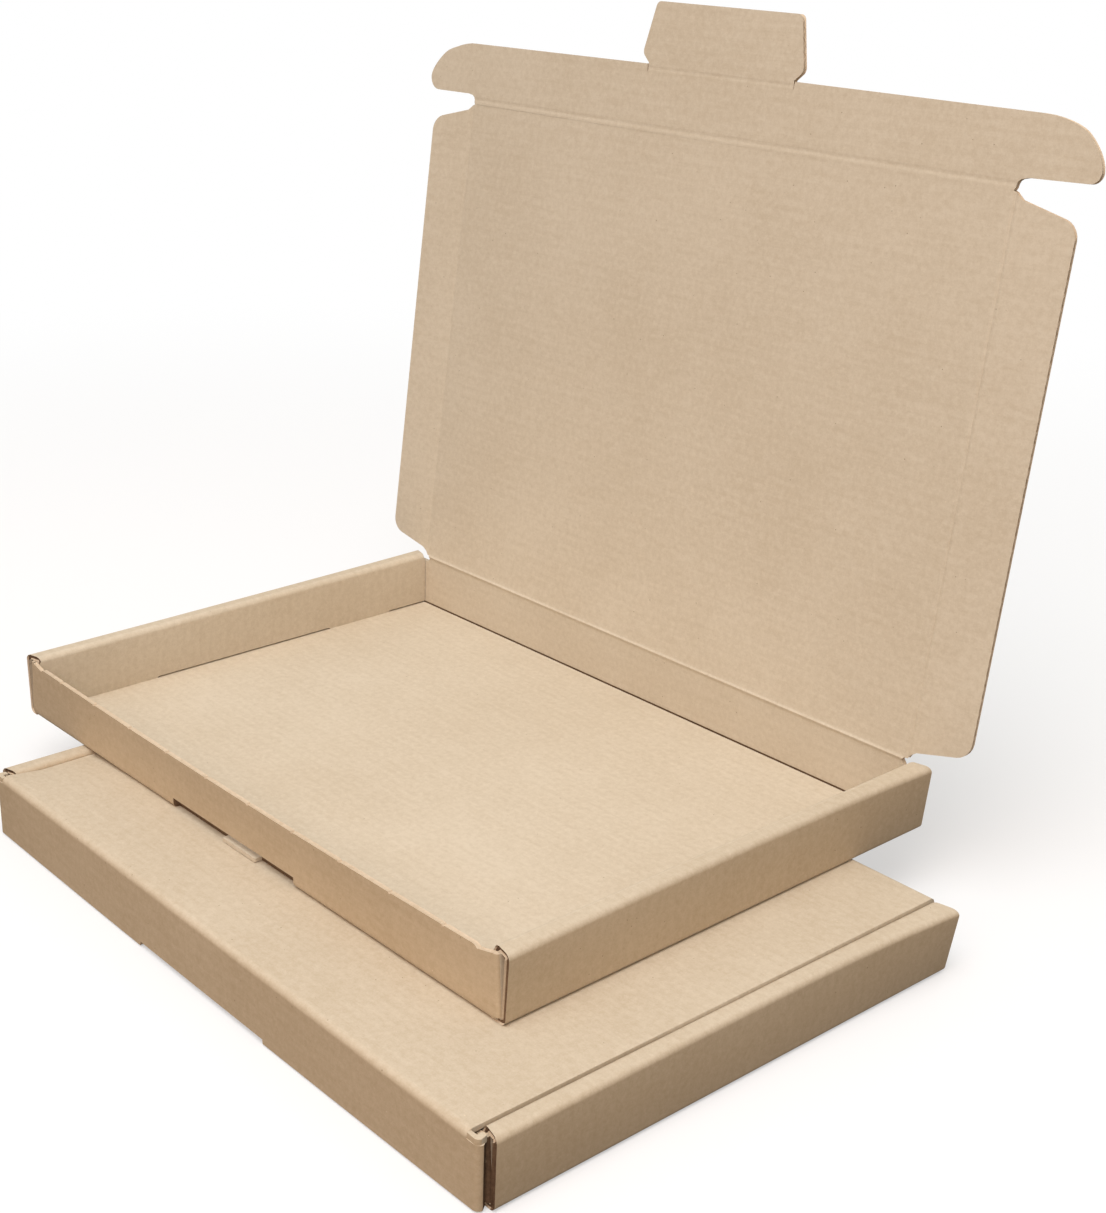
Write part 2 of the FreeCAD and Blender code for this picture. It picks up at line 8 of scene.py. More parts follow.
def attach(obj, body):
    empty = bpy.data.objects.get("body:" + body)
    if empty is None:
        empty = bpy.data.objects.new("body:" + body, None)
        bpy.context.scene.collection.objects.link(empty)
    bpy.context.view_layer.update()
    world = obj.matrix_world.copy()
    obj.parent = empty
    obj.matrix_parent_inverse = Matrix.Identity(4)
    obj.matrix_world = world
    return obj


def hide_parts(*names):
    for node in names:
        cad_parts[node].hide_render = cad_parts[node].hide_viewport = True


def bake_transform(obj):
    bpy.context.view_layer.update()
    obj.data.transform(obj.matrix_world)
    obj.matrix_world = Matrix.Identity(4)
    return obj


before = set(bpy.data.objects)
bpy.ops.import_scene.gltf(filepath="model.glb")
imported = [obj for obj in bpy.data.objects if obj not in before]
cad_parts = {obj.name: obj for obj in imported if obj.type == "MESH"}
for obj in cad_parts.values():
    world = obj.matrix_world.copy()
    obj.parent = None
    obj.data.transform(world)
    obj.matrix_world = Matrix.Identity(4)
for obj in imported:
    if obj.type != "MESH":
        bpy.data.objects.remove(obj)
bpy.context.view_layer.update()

mm = 0.001

# the board that both trays are cut from, in millimetres
card = {
    "thick": 1.4,
    "liner": 0.24,         # one flat facing
    "flutePitch": 3.6,
    "ribbon": 0.16,        # the wavy core between the facings
    "closedEdge": 0.1,     # how far the core stands back from an edge cut along the flutes
    "openEdge": 0.6,       # the same where the flutes end
    "shadeAngle": 32,      # degrees up to which two faces shade as one
}
thick = card["thick"]

# one folded tray
tray = {
    "halfLength": 115.0,
    "halfDepth": 80.0,
    "height": 20.0,
    "wallHalf": 112.0,     # half the straight part of the front and back walls
    "innerFace": 109.1,    # inner face of the rolled side walls
    "flapFace": 113.4,     # outer face of the corner flaps
    "frontTop": 18.1,
    "backTop": 17.6,       # up to where the lid's crease begins
    "foldRound": 1.6,
    "cornerLean": 1.2,     # the front corners lean in at the top
    "outerEnd": 79.0,      # what faces outwards beyond this is outside the tray
}

# how the two trays stand, in millimetres and degrees
stack = {
    "upperAt": (-31.75, 27.95, 20.0),
    "lowerTurn": -0.77,
    "hingeAt": (0, 79.3, 19.3),
    "lidTurn": 83.1,       # the open lid, up from lying flat behind the tray
}
lowerPlace = Matrix.Rotation(radians(stack["lowerTurn"]), 4, "Z")
upperPlace = Matrix.Translation(stack["upperAt"])
lidPlace = (upperPlace @ Matrix.Translation(stack["hingeAt"])
            @ Matrix.Rotation(radians(stack["lidTurn"]), 4, "X"))


def addNode(tree, kind, settings=None, values=None):
    node = tree.nodes.new(kind)
    for name, value in (settings or {}).items():
        setattr(node, name, value)
    for key, value in (values or {}).items():
        if isinstance(value, Wire):
            tree.links.new(value.socket, node.inputs[key])
        else:
            node.inputs[key].default_value = value
    return node


class Wire:
    def __init__(self, tree, socket):
        self.tree, self.socket = tree, socket

    def maths(self, operation, first, second):
        node = addNode(self.tree, "ShaderNodeMath", {"operation": operation}, {0: first, 1: second})
        return Wire(self.tree, node.outputs[0])

    def applied(self, operation):
        node = addNode(self.tree, "ShaderNodeMath", {"operation": operation}, {0: self})
        return Wire(self.tree, node.outputs[0])

    def __add__(self, other):
        return self.maths("ADD", self, other)

    def __radd__(self, other):
        return self.maths("ADD", other, self)

    def __sub__(self, other):
        return self.maths("SUBTRACT", self, other)

    def __rsub__(self, other):
        return self.maths("SUBTRACT", other, self)

    def __mul__(self, other):
        return self.maths("MULTIPLY", self, other)

    def __rmul__(self, other):
        return self.maths("MULTIPLY", other, self)

    def __lt__(self, other):
        return self.maths("LESS_THAN", self, other)

    def __gt__(self, other):
        return self.maths("GREATER_THAN", self, other)


def linear(red, green, blue):
    parts = [c / 255 for c in (red, green, blue)]
    return tuple(c / 12.92 if c <= 0.04045 else ((c + 0.055) / 1.055) ** 2.4 for c in parts) + (1,)


# raw kraft board: colours as they look on the sheet, plus painted shade for standing outside faces and
# for dark gaps; patterns in repeats per metre
kraft = {
    "facing": (206, 193, 172),
    "facingDeep": (193, 178, 155),
    "top": (201, 187, 165),
    "topDeep": (188, 172, 148),
    # painted shade: the browner tones of standing outside faces, which get less light
    "wall": (194, 173, 144),
    "shadedWallDeep": (181, 159, 129),
    "edge": (208, 189, 164),
    "edgeDeep": (190, 169, 142),
    # the core's own brown, darkened further as painted shade in gaps, slots and hollows
    "coreAndShadeTone": (118, 92, 68),
    "coreAndShadeToneDeep": (86, 64, 46),
    "speck": (104, 80, 56),
    "fleck": (226, 208, 182),
    "roughness": 0.82,
    "specular": 0.35,
    "mottle": 620,
    "fine": 2300,
    "cloud": 22,
    "cloudShift": (0.31, 0.17, 0.05),
    "streak": (95, 1150, 1150),    # drawn out along the sheet's length
    "specks": 310,
    "bump": 0.55,
    "bumpDepth": 0.00006,
}


def noiseAt(tree, coords, scale, detail, stretch=(1, 1, 1), shift=(0, 0, 0)):
    moved = addNode(tree, "ShaderNodeMapping", {},
                    {"Vector": coords, "Scale": stretch, "Location": shift})
    node = addNode(tree, "ShaderNodeTexNoise", {}, {
        "Vector": Wire(tree, moved.outputs[0]), "Scale": scale, "Detail": detail, "Roughness": 0.6})
    return Wire(tree, node.outputs[0])


def mixColours(tree, factor, first, second):
    node = addNode(tree, "ShaderNodeMix", {"data_type": "RGBA"},
                   {"Factor": factor, "A": first, "B": second})
    return Wire(tree, node.outputs["Result"])


def emptyTree(owner):
    owner.use_nodes = True
    owner.node_tree.nodes.clear()
    return owner.node_tree


def closeTree(tree, kind, shader):
    addNode(tree, kind, {}, {"Surface": Wire(tree, shader.outputs[0])})


def kraftMaterial(name, light, deep, paintedShadeTones=None, washboard=1.0):
    material = bpy.data.materials.new(name)
    tree = emptyTree(material)
    coords = addNode(tree, "ShaderNodeTexCoord")
    place = Wire(tree, coords.outputs["Object"])
    spot = addNode(tree, "ShaderNodeSeparateXYZ", {}, {0: place})
    facing = addNode(tree, "ShaderNodeSeparateXYZ", {}, {0: Wire(tree, coords.outputs["Normal"])})

    mottle = noiseAt(tree, place, kraft["mottle"], 3)
    fine = noiseAt(tree, place, kraft["fine"], 2)
    streak = noiseAt(tree, place, 1, 2, stretch=kraft["streak"])
    cloud = noiseAt(tree, place, kraft["cloud"], 2, shift=kraft["cloudShift"])
    # the flutes show through the facing as a faint washboard
    upright = Wire(tree, facing.outputs["Y"]).applied("ABSOLUTE") > 0.6
    across = Wire(tree, spot.outputs["Y"]) * (1 - upright) + Wire(tree, spot.outputs["Z"]) * upright
    flutes = (across * (2 * pi / (card["flutePitch"] * mm))).applied("SINE")

    cells = addNode(tree, "ShaderNodeTexVoronoi", {"feature": "F1"},
                    {"Vector": place, "Scale": kraft["specks"], "Randomness": 1})
    pick = addNode(tree, "ShaderNodeSeparateColor", {}, {0: Wire(tree, cells.outputs["Color"])})
    near = Wire(tree, cells.outputs["Distance"])
    specks = (near < 0.055) * (Wire(tree, pick.outputs[0]) > 0.72)
    flecks = (near < 0.06) * (Wire(tree, pick.outputs[1]) > 0.86)

    tone = (0.5 + (mottle - 0.5) * 1.8 + (streak - 0.5) * 0.7 + (cloud - 0.5) * 1.0 + (fine - 0.5) * 1.2
            + flutes * (0.06 * washboard))
    pair = [linear(*deep), linear(*light)]
    if paintedShadeTones:
        # painted shade: standing faces are painted browner than those that lie flat, as less light falls
        # on them
        level = Wire(tree, facing.outputs["Z"]).applied("ABSOLUTE")
        pair = [mixColours(tree, level, linear(*wall), flat) for wall, flat in zip(paintedShadeTones, pair)]
    colour = mixColours(tree, tone, *pair)
    colour = mixColours(tree, specks * 0.55, colour, linear(*kraft["speck"]))
    colour = mixColours(tree, flecks * 0.4, colour, linear(*kraft["fleck"]))
    height = ((mottle - 0.5) * 0.5 + (fine - 0.5) * 0.35 + (streak - 0.5) * 0.4
              + flutes * (0.16 * washboard))
    bump = addNode(tree, "ShaderNodeBump", {},
                   {"Strength": kraft["bump"], "Distance": kraft["bumpDepth"], "Height": height})
    shader = addNode(tree, "ShaderNodeBsdfPrincipled", {}, {
        "Base Color": colour, "Roughness": kraft["roughness"] + (mottle - 0.5) * 0.16,
        "Normal": Wire(tree, bump.outputs[0]), "Specular IOR Level": kraft["specular"]})
    closeTree(tree, "ShaderNodeOutputMaterial", shader)
    return material


slotOrder = [
    kraftMaterial("kraft_inside", kraft["facing"], kraft["facingDeep"]),
    kraftMaterial("kraft_outside_painted_shade", kraft["top"], kraft["topDeep"], (kraft["shadedWallDeep"], kraft["wall"])),
    kraftMaterial("kraft_cut_edge", kraft["edge"], kraft["edgeDeep"], washboard=0),
    kraftMaterial("kraft_core_and_painted_shade", kraft["coreAndShadeTone"], kraft["coreAndShadeToneDeep"], washboard=0),
]
insideCard, outsideShadedCard, cutEdge, coreAndPaintedShade = range(4)
print("materials made")


def rounded(part, corners, verts, segments):
    # a corner's third number is its radius
    for radius in sorted({c[2] for c in corners if len(c) > 2}):
        spots = [v for v, c in zip(verts, corners) if len(c) > 2 and c[2] == radius and v.is_valid]
        bmesh.ops.bevel(part, geom=spots, offset=radius, offset_type="OFFSET", affect="VERTICES",
                        segments=segments, profile=0.5, material=-1, clamp_overlap=False)


def softened(part, edges, offset):
    bmesh.ops.bevel(part, geom=edges, offset=offset, offset_type="OFFSET", affect="EDGES", segments=4,
                    profile=0.5, material=-1, clamp_overlap=True)


def pulledOut(part, reach):
    pulled = bmesh.ops.extrude_face_region(part, geom=list(part.faces))["geom"]
    bmesh.ops.translate(part, vec=reach, verts=[g for g in pulled if isinstance(g, bmesh.types.BMVert)])
    bmesh.ops.recalc_face_normals(part, faces=list(part.faces))


def sweep(corners, axis, start, end, segments=5):
    # a section drawn across one axis and pulled along it
    part = bmesh.new()
    lay = {"x": lambda a, b: (start, a, b), "y": lambda a, b: (a, start, b),
           "z": lambda a, b: (a, b, start)}[axis]
    verts = [part.verts.new(lay(c[0], c[1])) for c in corners]
    part.faces.new(verts)
    rounded(part, corners, verts, segments)
    pulledOut(part, Vector([end - start if name == axis else 0 for name in "xyz"]))
    return part


def cutAt(part, normal, spot):
    bmesh.ops.bisect_plane(part, geom=list(part.verts) + list(part.edges) + list(part.faces), dist=1e-5,
                           plane_co=spot, plane_no=normal)


def sliceRow(part, axis, places):
    normal = Vector([1 if name == axis else 0 for name in "xyz"])
    for place in places:
        cutAt(part, normal, normal * place)


def rawEdge(part, isRaw, depth=None, inner=coreAndPaintedShade):
    # a cut edge: two facings with the core standing back between them, open where the flutes end
    faces = [f for f in part.faces if isRaw(f.calc_center_median(), f.normal)]
    if not faces:
        return
    ring = bmesh.ops.inset_region(part, faces=faces, use_boundary=True, use_even_offset=True,
                                  thickness=card["liner"], depth=-(depth or card["closedEdge"]))["faces"]
    for face in ring:
        face.material_index = cutEdge
    # with a depth the core takes the dark core colour, partly painted shade in the recess
    for face in faces:
        face.material_index = inner if depth else cutEdge


def openSlot(part, inside):
    # cut a hole through the board and close its rim
    gone = [f for f in part.faces if inside(f.calc_center_median())]
    bmesh.ops.delete(part, geom=gone, context="FACES")
    rim = [e for e in part.edges if e.is_boundary]
    # painted shade: the slot's rim takes the dark core colour, partly the board's core and partly the
    # slot's shade
    for face in bmesh.ops.bridge_loops(part, edges=rim)["faces"]:
        face.material_index = coreAndPaintedShade


def outsideFaces(part):
    # the facing that shows outside the tray, whose material paints shade on its standing faces
    for face in part.faces:
        centre, normal = face.calc_center_median(), face.normal
        outward = (max(abs(centre.x) - tray["flapFace"], 0) * centre.x * normal.x
                   + max(abs(centre.y) - tray["outerEnd"], 0) * centre.y * normal.y)
        onTop = centre.z > 18.7 and normal.z > 0.1 and not 109.0 < abs(centre.x) < 110.8
        if face.material_index == insideCard and (outward > 0.001 or onTop):
            face.material_index = outsideShadedCard


def addPart(whole, part):
    spare = bpy.data.meshes.new("spare")
    part.to_mesh(spare)
    part.free()
    whole.from_mesh(spare)
    bpy.data.meshes.remove(spare)


def mirrored(whole):
    turned = whole.copy()
    bmesh.ops.scale(turned, vec=(-1, 1, 1), verts=turned.verts)
    bmesh.ops.reverse_faces(turned, faces=turned.faces)
    return turned


def finishPiece(part, name, place, body, replaced):
    bmesh.ops.transform(part, matrix=Matrix.Scale(mm, 4) @ place, verts=part.verts)
    mesh = bpy.data.meshes.new(name)
    part.to_mesh(mesh)
    part.free()
    for material in slotOrder:
        mesh.materials.append(material)
    for polygon in mesh.polygons:
        polygon.use_smooth = True
    mesh.set_sharp_from_angle(angle=radians(card["shadeAngle"]))
    piece = bpy.data.objects.new(name, mesh)
    bpy.context.scene.collection.objects.link(piece)
    if body:
        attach(piece, body)
    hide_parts(*replaced)
    return piece


def fluteRow(start, end, reach):
    # the wavy ribbon between the facings, seen on a cut across the flutes; it runs along y at x = 0
    part = bmesh.new()
    count = max(4, int(abs(end - start) / card["flutePitch"] * 8))
    bmesh.ops.create_grid(part, x_segments=1, y_segments=count, size=0.5)
    height = (thick - 2 * card["liner"] - card["ribbon"]) / 2
    for vert in part.verts:
        along = start + (vert.co.y + 0.5) * (end - start)
        vert.co = (reach * (vert.co.x - 0.5), along, height * sin(2 * pi * along / card["flutePitch"]))
    bmesh.ops.recalc_face_normals(part, faces=list(part.faces))
    bmesh.ops.solidify(part, geom=list(part.faces), thickness=card["ribbon"])
    for face in part.faces:
        face.material_index = cutEdge
    return part


def cornerShift(z):
    # how far a front corner leans in at this height
    return tray["cornerLean"] * max(0.0, (z - 2.0) / 16.0)


endWalls = {
    "slotHalf": 29.75,
    "slotTop": 3.1,
    "slotDeep": 0.7,       # how far the slot runs under the floor
    "nicks": 10,           # where bridges held the blank, along the front wall's free edge
    "nickStep": 20.6,
    "nickDrop": 0.35,
    "step": (104.0, 105.2),
    "stepDrop": 0.8,
    "pinch": (0.9, 1.86, 78.2, 78.7),    # heights and depths between which the pinched lines lie
}


def floorAndWalls(bow):
    t, w = tray, endWalls
    deep, top, fold = t["halfDepth"], t["backTop"], t["foldRound"]
    # the walls rise from a line pinched a little into the floor
    pinched = [(deep - thick, thick + 0.45), (deep - thick + 0.15, thick - 0.5),
               (deep - thick - 0.3, thick)]
    section = ([(-deep, 0, fold), (deep, 0, fold), (deep, top), (deep - thick, top)] + pinched
               + [(-y, z) for y, z in reversed(pinched)]
               + [(thick - deep, t["frontTop"]), (-deep, t["frontTop"])])
    part = sweep(section, "x", -t["wallHalf"], t["wallHalf"])
    half, slotTop, slotBack = w["slotHalf"], w["slotTop"], thick - deep + w["slotDeep"]
    sliceRow(part, "x", (-half, half))
    cutAt(part, (0, 0, 1), (0, 0, slotTop))
    cutAt(part, (0, 1, 0), (0, slotBack, 0))
    openSlot(part, lambda c: abs(c.x) < half and c.z < slotTop and c.y < slotBack)
    nicks = [(i - (w["nicks"] - 1) / 2) * w["nickStep"] for i in range(w["nicks"])]
    for nick in nicks:
        sliceRow(part, "x", (nick - 0.55, nick - 0.3, nick + 0.3, nick + 0.55))
    near, far = w["step"]
    sliceRow(part, "x", (-far, -near, near, far))
    rawEdge(part, lambda c, n: n.z > 0.9 and c.z > t["frontTop"] - 0.1 and c.y < 0)
    low, high, inner, outer = w["pinch"]
    for face in part.faces:
        centre = face.calc_center_median()
        if low < centre.z < high and inner < abs(centre.y) < outer:
            face.material_index = coreAndPaintedShade    # painted shade: the pinched lines take the dark core colour, as they stay in shade
    for vert in part.verts:
        along = vert.co.x / t["wallHalf"]
        if vert.co.y > thick + 1 - deep or vert.co.z < slotTop - 0.2:
            continue
        rise = (vert.co.z - 3) / 15
        if vert.co.z > 14:
            if any(abs(vert.co.x - nick) < 0.4 for nick in nicks):
                vert.co.z -= w["nickDrop"]
            if abs(vert.co.x) > 104.4:
                vert.co.z -= w["stepDrop"] - 1.3 * (abs(vert.co.x) - far) / 6.8
        if abs(along) > 0.999:
            vert.co.x -= along * cornerShift(vert.co.z)
        middle = max(0.0, 1 - along * along) * max(0.0, rise)
        vert.co.y -= bow * middle
        vert.co.z -= 0.35 * bow * middle
    return part


rolledWall = {
    "lift": 0.5,           # the inner panel ends this far above the floor
    "setback": 0.5,        # the wall's ends stand behind the front and back walls
    "slant": 1.6,          # the strip's ends are cut on a slant
    "shorter": 1.1,        # so much shorter is the inner panel at each end
    "round": 1.75,
    "endDepth": 0.5,       # how far the core stands back at the ends
    "rows": (-78, -75, -60, -40, -20, 0, 20, 40, 60, 75, 78),
    "tabs": (-48.5, 48.5),
    "tabTop": 13.5,
    "tabFoot": 12,
}


def sideWall(flare):
    # the right side wall: outer panel, top strip and inner panel with its two tabs
    t, w = tray, rolledWall
    outer, inner, high, foot = t["halfLength"], t["innerFace"], t["height"], thick + w["lift"]
    edge = t["wallHalf"] - 2
    end = t["halfDepth"] - w["setback"]
    whole = bmesh.new()
    section = [(edge, 0), (outer, 0, t["foldRound"]), (outer, high, w["round"]),
               (inner, high, w["round"]), (inner, foot), (inner + thick, foot),
               (inner + thick, high - thick, 0.45), (outer - thick, high - thick, 0.45),
               (outer - thick, thick, 0.2), (edge, thick)]
    part = sweep(section, "y", -end, end, segments=6)
    sliceRow(part, "y", w["rows"])
    # painted shade: the ends' recessed cores take the dark core colour, for the shade in the hollow wall
    rawEdge(part, lambda c, n: abs(n.y) > 0.9, depth=w["endDepth"])
    for vert in part.verts:
        side = 1 if vert.co.y > 0 else -1
        if abs(vert.co.y) > 78.5:
            if vert.co.z > high - thick - 0.3 and vert.co.x < outer - 0.2:
                vert.co.y -= side * w["slant"] * min(1, (outer - vert.co.x) / (outer - inner))
            elif vert.co.x < inner + thick + 0.3 and vert.co.z > thick + 0.1:
                vert.co.y -= side * w["shorter"]
    addPart(whole, part)
    for place in w["tabs"]:
        wide, narrow = w["tabTop"], w["tabFoot"]
        tab = sweep([(place - wide, foot - 0.01), (place + wide, foot - 0.01), (place + narrow, 0.3),
                     (place - narrow, 0.3)], "x", inner + 0.01, inner + thick - 0.01)
        addPart(whole, tab)
    # the wall springs out a little at its free ends
    front, back = flare
    for vert in whole.verts:
        reach = vert.co.y / end
        spring = back * max(0.0, reach) ** 3 + front * max(0.0, -reach) ** 3
        spring *= max(0.0, vert.co.z / high)
        if vert.co.x > inner + thick + 0.3 or vert.co.z > high - thick - 0.5:
            vert.co.x += spring * min(1.0, (vert.co.x - inner) / (outer - inner))
    return whole


cornerFlaps = {
    "reach": 42,
    "round": 1.3,
    "frontRise": 0.45,     # above the front wall's free edge
    "backTop": 18.48,
}


def cornerFlap(top, lean):
    # the wall's end turns back into the hollow side wall
    face, deep, reach = tray["flapFace"], tray["halfDepth"], cornerFlaps["reach"]
    part = sweep([(tray["wallHalf"], -deep), (face, -deep, cornerFlaps["round"]), (face, reach - deep),
                  (face - thick, reach - deep), (face - thick, thick - deep)], "z", thick + 0.1, top)
    sliceRow(part, "z", (6, 12))
    rawEdge(part, lambda c, n: n.z > 0.9)
    if lean:
        for vert in part.verts:
            vert.co.x -= cornerShift(vert.co.z)
    return part


def trayShell(bow, flares, leftLean=0.0):
    whole = bmesh.new()
    addPart(whole, floorAndWalls(bow))
    for side, flare in zip((1, -1), flares):
        wall = sideWall(flare)
        if side < 0 and leftLean:
            # the inner panel leans out at its foot, most of all towards the front
            for vert in wall.verts:
                below = tray["height"] - 3 - vert.co.z
                if vert.co.x < tray["innerFace"] + thick + 0.1 and below > 0:
                    vert.co.x += leftLean * (below / 15 * max(0.0, (70 - vert.co.y) / 150))
        addPart(wall, cornerFlap(tray["frontTop"] + cornerFlaps["frontRise"], True))
        back = cornerFlap(cornerFlaps["backTop"], False)
        bmesh.ops.scale(back, vec=(1, -1, 1), verts=back.verts)
        bmesh.ops.reverse_faces(back, faces=back.faces)
        addPart(wall, back)
        addPart(whole, mirrored(wall) if side < 0 else wall)
    return whole


upperTray = {
    "bow": 1.2,                          # of the front wall
    "flares": ((1.0, 1.6), (0.5, 0.6)),  # front and back ends of the right wall, then of the left one
    "leftLean": 1.4,
    "tongue": [(-4, -80.3, 0.4), (12, -80.3, 0.4), (12, -77.9), (-4, -77.9)],    # left in the slot
    "tongueTop": 1.2,
}

upper = trayShell(upperTray["bow"], upperTray["flares"], leftLean=upperTray["leftLean"])
outsideFaces(upper)
addPart(upper, sweep(upperTray["tongue"], "z", 0.05, upperTray["tongueTop"]))
finishPiece(upper, "upper_tray_card", upperPlace, "trays", ["upper_tray"])
print("upper tray made")

closedLid = {
    "half": 108.9,
    "front": 82.9,         # outer face of the front flap
    "fold": 1.98,
    "sideFold": 1.35,
    "sag": 0.35,
    "leftSink": 1.5,       # the lid lies lower along its left edge
    "sinkFrom": -80,
    "sinkWidth": 28.9,
    "flapHalf": (75.0, 71.5),
    "flapFoot": 2.4,
    "hem": 0.3,
    "tabHalf": 29.75,
    "tabRise": 1.2,        # a short notch in the hem, where the lock tab turns in
    "tabFoot": 1.5,
    "tabReach": 19,
    "bulge": 0.7,
    "face": 113.1,         # where the front flap turns back at each end
    "earTop": 18.0,
    "earFold": 1.7,
    "earReach": 25.0,
    "earTuck": 1.5,        # the ears stand inside the side walls
    "earBend": (-79.2, -81.3),
    "shoulder": 19.6,      # top of the folded card at the front corners
    "shoulderRound": 1.2,
    "shoulderBack": -79.9,
    "keyhole": (110.9, -81.5),
    "flares": ((0.3, 2.8), (0.3, 0.8)),
}


def lidPanel():
    # the closed lid with its front and back folds
    t, c = tray, closedLid
    high, deep, half, front, earTop = t["height"], t["halfDepth"], c["half"], c["front"], c["earTop"]
    section = [(deep, t["backTop"]), (deep, high, 1.6), (-front, high, c["fold"]), (-front, earTop),
               (thick - front, earTop), (thick - front, high - thick, 0.6),
               (deep - thick, high - thick, 0.2), (deep - thick, t["backTop"])]
    part = sweep(section, "x", -half, half, segments=6)
    # the side folds round down to the flaps that hang inside
    softened(part, [e for e in part.edges
                    if all(abs(abs(v.co.x) - half) < 0.01 and v.co.z > high - 0.01 for v in e.verts)],
             c["sideFold"])
    sliceRow(part, "x", (-100, -80, -50, -20, 20, 50, 80, 100))
    sliceRow(part, "y", (-70, -45, -15, 15, 45, 70))
    for vert in part.verts:
        # it sinks a little between its folds, and more along its left edge
        if vert.co.z > 18 and abs(vert.co.y) < 79:
            vert.co.z -= c["sag"] * ((1 - (vert.co.x / half) ** 2) * (1 - (vert.co.y / 80) ** 2))
        past = c["sinkFrom"] - vert.co.x
        if vert.co.z > 16 and past > 0 and vert.co.y > -81:
            vert.co.z -= c["leftSink"] * (past / c["sinkWidth"]) ** 2 * min(1.0, (81 + vert.co.y) / 12)
    return part


def closedFlap():
    # the front flap with its ears bent round the corners into the hollow side walls
    c = closedLid
    face, front, earTop = c["face"], c["front"], c["earTop"]
    tucked, end = face - c["earTuck"], c["earReach"] - front
    inward, outward = c["earBend"]
    rightSide = [(tucked - thick, end), (tucked, end), (tucked, inward), (face, outward),
                 (face, -front, c["earFold"])]
    leftSide = [(-x, *rest) for x, *rest in reversed(rightSide)]
    outline = rightSide + leftSide + [(thick - tucked, thick - front), (tucked - thick, thick - front)]
    part = sweep(outline, "z", c["hem"], earTop, segments=6)
    half = c["tabHalf"]
    sliceRow(part, "x", (-half, 0.15 - half, half - 0.15, half))
    sliceRow(part, "x", (-90, -60, 0, 60, 90))
    sliceRow(part, "z", (2.2, 6, 12))
    rawEdge(part, lambda p, n: n.z < -0.9)
    for piece in part.faces:
        # painted shade: the ear's faces in the narrow gap beside the side wall's end take the dark core
        # colour
        centre = piece.calc_center_median()
        if abs(centre.x) > tucked - 0.1 and centre.y > -81.4 and abs(piece.normal.z) < 0.5:
            piece.material_index = coreAndPaintedShade
    for vert in part.verts:
        if abs(vert.co.x) < half - 0.05 and vert.co.z < 1.4:
            vert.co.z += c["tabRise"]
        if vert.co.y < -78 and abs(vert.co.x) < 111:
            vert.co.y -= c["bulge"] * ((1 - (vert.co.x / 111) ** 2) * max(0.0, 1 - vert.co.z / earTop))
    return part


def shoulder():
    # card folded over the right front corner, with the keyhole beside the lid
    c = closedLid
    half, front, face, top, back = c["half"], c["front"], c["face"], c["shoulder"], c["shoulderBack"]
    side, near = c["keyhole"]
    part = sweep([(half, 0.2 - front), (face, -front, c["earFold"]), (face - 0.7, back), (side, back),
                  (side, near), (half, near)], "z", c["earTop"] - 0.2, top, segments=6)
    softened(part, [e for e in part.edges
                    if all(v.co.z > top - 0.01 and (v.co.y < -81.6 or v.co.x > 112.9) for v in e.verts)],
             c["shoulderRound"])
    return part


def closedFront():
    whole = bmesh.new()
    c = closedLid
    half = c["half"]
    addPart(whole, lidPanel())
    wide, narrow = c["flapHalf"]
    top, low = tray["height"] - thick, c["flapFoot"]
    for side in (1, -1):
        flap = sweep([(-wide, top), (wide, top), (narrow, low), (-narrow, low)], "x", half - thick, half)
        addPart(whole, flap if side > 0 else mirrored(flap))
    addPart(whole, closedFlap())
    corner = shoulder()
    addPart(whole, mirrored(corner))
    addPart(whole, corner)
    near, far, foot = 0.1 - c["front"], c["tabReach"] - c["front"], c["tabFoot"]
    tab = sweep([(near, foot, 0.9), (far, foot), (far, foot + thick), (near, foot + thick)], "x", -29, 29)
    addPart(whole, tab)
    return whole


lower = trayShell(0.0, closedLid["flares"])
for face in lower.faces:
    centre = face.calc_center_median()
    turnedIn = 112.0 < abs(centre.x) < 113.5
    endEdge = 113.5 < abs(centre.x) and face.normal.y < -0.3 and centre.z < 17
    if centre.y < -78.7 and (turnedIn or endEdge):
        face.material_index = coreAndPaintedShade    # painted shade: these take the dark core colour, as they stay in shade behind the ears
    # painted shade: inside faces in the groove between the closed lid and the side strips take the
    # browner outside material
    elif face.material_index == insideCard and 107.0 < abs(centre.x) < 110.9 and 15 < centre.z:
        face.material_index = outsideShadedCard
addPart(lower, closedFront())
outsideFaces(lower)
finishPiece(lower, "lower_tray_card", lowerPlace, "trays", ["lower_tray"])
print("lower tray made")

# the open lid as a flat sheet: x along the back wall, y up the lid, z out of its inside
lid = {
    "score": 108.2,
    "side": 106.7,         # the lid's flat part ends here, the side creases begin
    "low": 1.5,
    "high": 159.4,
    "front": 161.0,        # score of the front flap
}


def flatCard(corners, segments=5, rows=(), columns=()):
    # board lying flat, its outer facing below
    part = bmesh.new()
    verts = [part.verts.new((c[0], c[1], -thick / 2)) for c in corners]
    part.faces.new(verts)
    rounded(part, corners, verts, segments)
    sliceRow(part, "x", columns)
    sliceRow(part, "y", rows)
    pulledOut(part, (0, 0, thick))
    for face in part.faces:
        if face.normal.z < -0.5:
            face.material_index = outsideShadedCard
    return part


def score(part, axis, place, width=0.9, depth=0.28):
    # a pressed line in the inside face, which is the upper one
    index = "xy".index(axis)
    for vert in part.verts:
        off = abs(vert.co[index] - place)
        if off < width:
            share = 1 if vert.co.z > 0 else 0.6
            vert.co.z -= depth * share * 0.5 * (1 + cos(pi * off / width))


def bothWays(*steps):
    return [-step for step in reversed(steps)] + [0] + list(steps)


